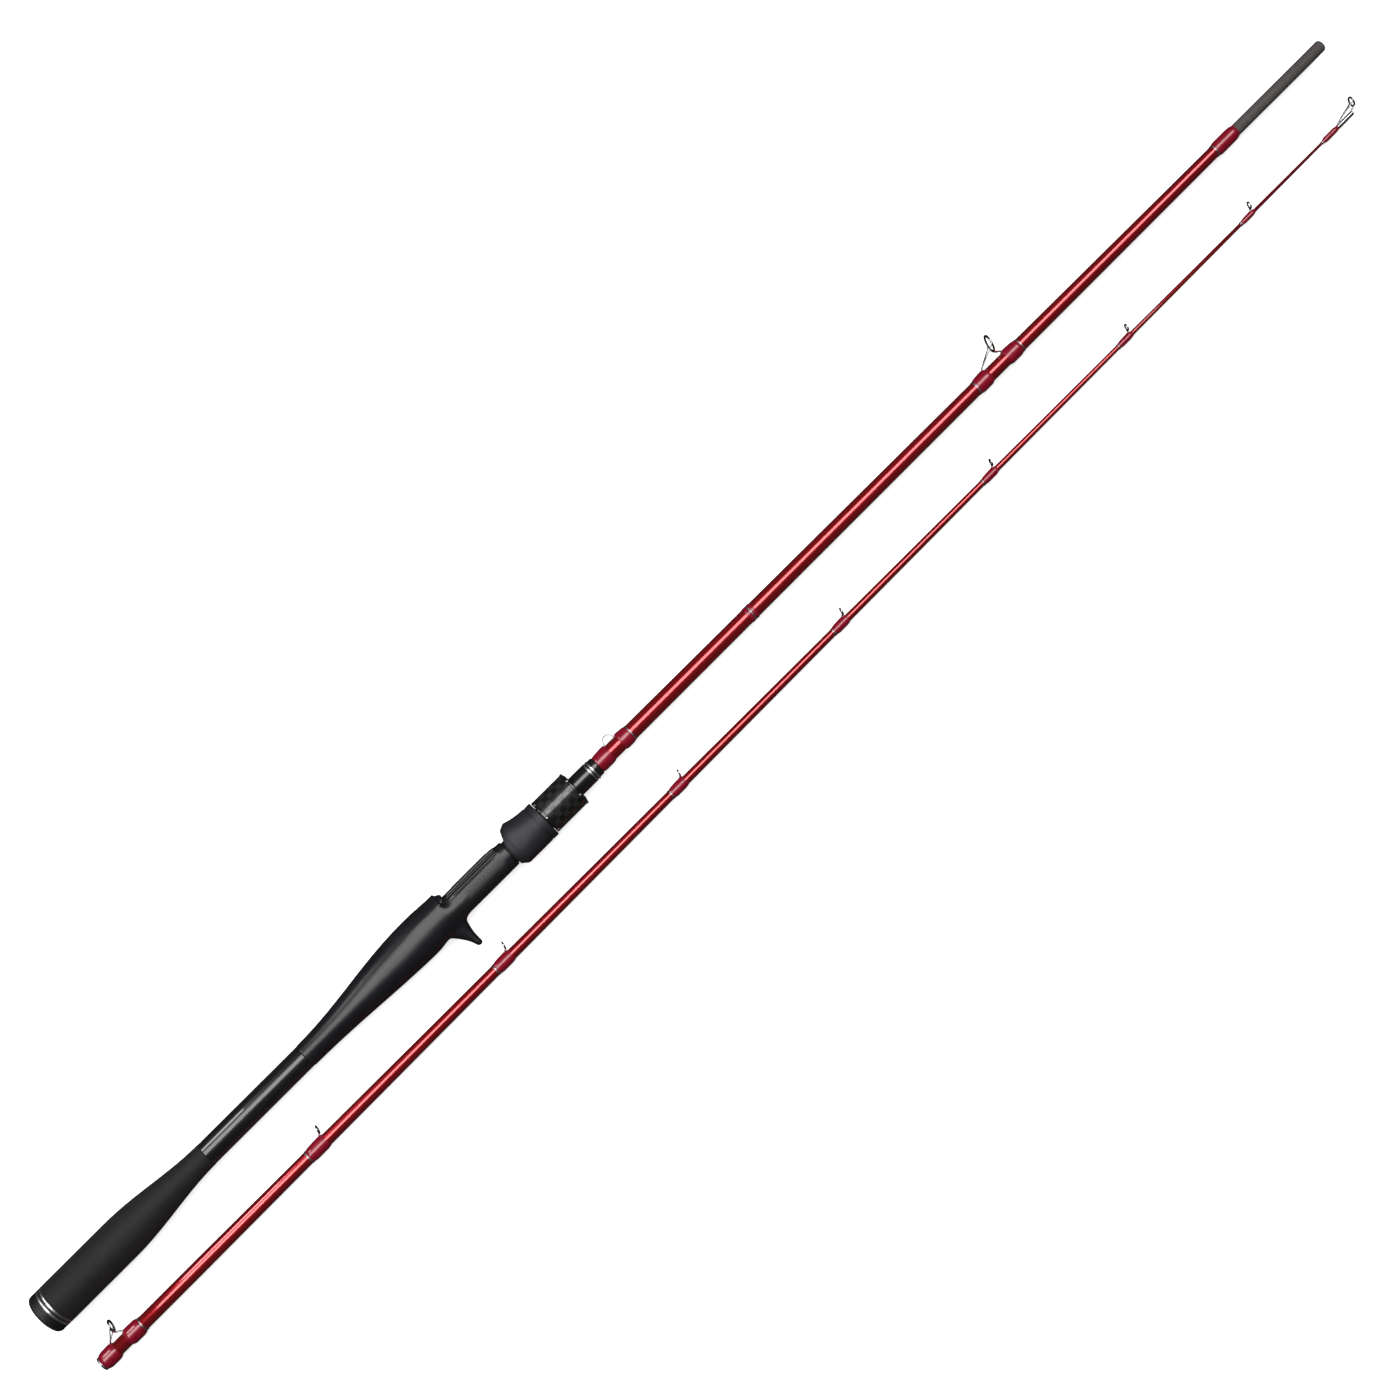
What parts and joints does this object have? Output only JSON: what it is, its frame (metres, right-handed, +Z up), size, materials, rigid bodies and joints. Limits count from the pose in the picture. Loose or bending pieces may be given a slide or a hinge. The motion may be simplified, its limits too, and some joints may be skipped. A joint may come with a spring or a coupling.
{
  "type": "two-piece casting rod",
  "caption": "Two-piece casting fishing rod: trigger handle with screw-down reel seat, tapered butt and tip sections with line guides, side by side.",
  "frame": {"origin": "centre of the butt cap's flat end face, on the axis of the butt section", "axes": "+X along the rod from the butt to the tip, +Y towards the side of the reel and the line guides (the trigger points to -Y), +Z up from the surface that both sections lie on"},
  "size_m": [1.275, 0.081, 0.0318],
  "materials": {
    "red_blank": "candy red metallic lacquer over carbon tube",
    "wrap_crimson": "crimson thread under clear epoxy",
    "silver_trim": "bright metal",
    "guide_steel": "polished dark stainless steel",
    "ring_ceramic": "polished dark grey ceramic",
    "grip_foam": "firm closed-cell foam, matte",
    "cap_rubber": "smooth matte rubber",
    "gloss_black": "clear-coated carbon tube",
    "seat_black": "satin moulded nylon",
    "hood_black": "soft-touch matte black",
    "thread_black": "glass-filled nylon thread",
    "carbon_weave": "woven carbon under clear coat",
    "bare_carbon": "ground unpainted carbon",
    "arbor_foam": "rigid foam"
  },
  "bodies": {
    "butt_section": {"butt_cap": "cap_rubber", "butt_plug": "thread_black", "trim_rings": "silver_trim", "rear_grip": "grip_foam", "gloss_tube": "gloss_black", "arbors": "arbor_foam", "seat_body": "seat_black", "deck_plate": "hood_black", "fixed_hood_liner": "guide_steel", "thread_barrel": "thread_black", "winding_check": "gloss_black", "check_rings": "silver_trim", "butt_blank": "red_blank", "male_ferrule": "bare_carbon", "hook_keeper": "guide_steel", "keeper_wraps": "wrap_crimson", "trim_wrap": "wrap_crimson", "ferrule_wrap": "wrap_crimson", "butt_guide_frame": "guide_steel", "butt_guide_ring": "ring_ceramic", "butt_guide_wraps": "wrap_crimson", "butt_bands": "silver_trim"},
    "hood": {"sliding_hood": "hood_black", "hood_bush": "thread_black"},
    "lock_nut": {"nut_core": "thread_black", "carbon_sleeve": "carbon_weave", "nut_rear_ring": "gloss_black", "nut_front_ring": "gloss_black", "nut_studs": "silver_trim"},
    "tip_section": {"tip_blank": "red_blank", "socket_wrap": "wrap_crimson", "first_guide_frame": "guide_steel", "first_guide_ring": "ring_ceramic", "first_guide_wrap": "wrap_crimson", "guide_1_frame": "guide_steel", "guide_2_frame": "guide_steel", "guide_3_frame": "guide_steel", "guide_4_frame": "guide_steel", "guide_5_frame": "guide_steel", "guide_6_frame": "guide_steel", "guide_7_frame": "guide_steel", "guide_1_ring": "ring_ceramic", "guide_2_ring": "ring_ceramic", "guide_3_ring": "ring_ceramic", "guide_4_ring": "ring_ceramic", "guide_5_ring": "ring_ceramic", "guide_6_ring": "ring_ceramic", "guide_7_ring": "ring_ceramic", "guide_1_wrap": "wrap_crimson", "guide_2_wrap": "wrap_crimson", "guide_3_wrap": "wrap_crimson", "guide_4_wrap": "wrap_crimson", "guide_5_wrap": "wrap_crimson", "guide_6_wrap": "wrap_crimson", "guide_7_wrap": "wrap_crimson", "tip_bands": "silver_trim", "tip_top_frame": "guide_steel", "tip_top_ring": "ring_ceramic", "tip_top_wrap": "wrap_crimson"}
  },
  "joints": [
    {"name": "hood_slide", "type": "slide", "parent": "butt_section", "child": "hood", "axis": [-1, 0, 0], "range_m": [0, 0.016]},
    {"name": "nut_spin", "type": "hinge", "parent": "hood", "child": "lock_nut", "pos_m": [0.493, 0, 0], "axis": [-1, 0, 0], "range_deg": [0, 2880]},
    {"name": "tip_section_slide", "type": "slide", "parent": "butt_section", "child": "tip_section", "axis": [1, 0, 0], "range_m": [0, 1.3]}
  ],
  "couplings": [
    {"joint": "hood_slide", "follows": "nut_spin", "m_per_rad": 0.00031831}
  ]
}
